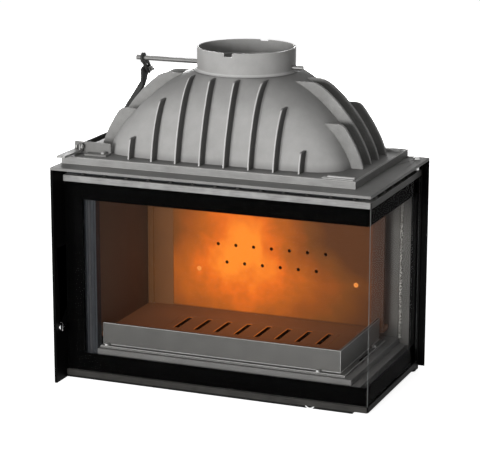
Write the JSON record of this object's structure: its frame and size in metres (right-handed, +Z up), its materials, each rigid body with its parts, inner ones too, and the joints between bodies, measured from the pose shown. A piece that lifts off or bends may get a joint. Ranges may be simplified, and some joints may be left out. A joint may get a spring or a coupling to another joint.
{
  "type": "fireplace insert",
  "caption": "Cast iron fireplace insert with an L-shaped glazed door, ribbed hood, round flue collar, damper linkage, air slide and lift-out grate.",
  "frame": {"origin": "under the middle of the top plate, at the height of the base's underside", "axes": "+Z up, -Y to the front glass, +X to the glazed side"},
  "size_m": [0.7, 0.392, 0.705],
  "materials": {
    "cast_grey": "sand-cast surface with a satin grey stove paint",
    "cast_frame": "satin grey stove paint on cast iron",
    "cast_fire": "bare cast iron, heat tinted",
    "cast_base": "dark grey cast iron",
    "black_paint": "satin black stove paint",
    "rail_metal": "satin silver grey paint on steel",
    "black_enamel": "gloss black enamel printed on glass",
    "clear_glass": "clear heat-proof ceramic glass",
    "rope": "braided glass-fibre rope",
    "bright_steel": "zinc plated steel",
    "damper_iron": "cast iron",
    "bright_chrome": "polished chrome"
  },
  "bodies": {
    "insert": {"top_plate": "cast_grey", "left_jamb": "black_paint", "back_sheet": "black_paint", "rear_wall": "cast_frame", "base_casting": "cast_base", "lower_frame": "cast_frame", "left_post": "cast_frame", "header_frame": "cast_frame", "rope_seal": "rope", "fire_plate_left": "cast_fire", "fire_back": "cast_fire", "fire_back_bolts": "bright_steel", "corner_plate": "cast_fire", "hearth_plate": "cast_fire", "fender": "cast_frame", "fender_bolts": "bright_steel", "hood_seat": "cast_grey", "hood": "cast_grey", "hood_bolt": "bright_steel", "flue_collar": "cast_grey", "bar_bracket": "cast_grey", "bracket_bolt": "bright_steel", "hinge_pin_top": "bright_steel", "hinge_pin_low": "bright_steel", "hinge_lug": "cast_base"},
    "door": {"front_glass": "clear_glass", "side_glass": "clear_glass", "front_enamel": "black_enamel", "side_enamel": "black_enamel", "door_top_rail": "rail_metal", "door_low_rail": "rail_metal", "door_left_stile": "black_paint", "door_rear_stile": "cast_frame", "glass_gasket": "rope", "rail_screws": "bright_steel"},
    "damper": {"damper_shaft": "bright_steel", "damper_disc": "damper_iron", "disc_screws": "bright_steel", "damper_crank": "black_paint"},
    "pull_bar": {"pull_bar": "black_paint", "crank_pin": "bright_steel", "pull_tab": "cast_grey", "pull_tab_bolt": "bright_steel"},
    "latch": {"latch_knob": "bright_chrome", "latch_washer": "bright_steel"},
    "air_slide": {"air_slide": "cast_base", "air_pull": "bright_chrome"},
    "grate": {"grate": "cast_fire"},
    "ash_pan": {"ash_pan": "bright_steel"}
  },
  "joints": [
    {"name": "door_swing", "type": "hinge", "parent": "insert", "child": "door", "pos_m": [0.328, 0.172, 0.226], "axis": [0, 0, 1], "range_deg": [0, 95]},
    {"name": "damper_turn", "type": "hinge", "parent": "insert", "child": "damper", "pos_m": [-0.015, 0.062, 0.666], "axis": [-1, 0, 0], "range_deg": [0, 90]},
    {"name": "pull_bar_slide", "type": "slide", "parent": "insert", "child": "pull_bar", "axis": [0, -1, 0], "range_m": [0, 0.0561]},
    {"name": "latch_turn", "type": "hinge", "parent": "insert", "child": "latch", "pos_m": [-0.347, -0.179, 0.121], "axis": [1, 0, 0], "range_deg": [0, 90]},
    {"name": "air_slide_pull", "type": "slide", "parent": "insert", "child": "air_slide", "axis": [0, -1, 0], "range_m": [0, 0.03]},
    {"name": "grate_lift", "type": "slide", "parent": "insert", "child": "grate", "axis": [0, 0, 1], "range_m": [0, 0.12]},
    {"name": "ash_pan_lift", "type": "slide", "parent": "insert", "child": "ash_pan", "axis": [0, 0, 1], "range_m": [0, 0.061]}
  ],
  "couplings": [
    {"joint": "pull_bar_slide", "follows": "damper_turn", "m_per_rad": 0.035651},
    {"joint": "ash_pan_lift", "follows": "grate_lift", "ratio": 0.5}
  ]
}
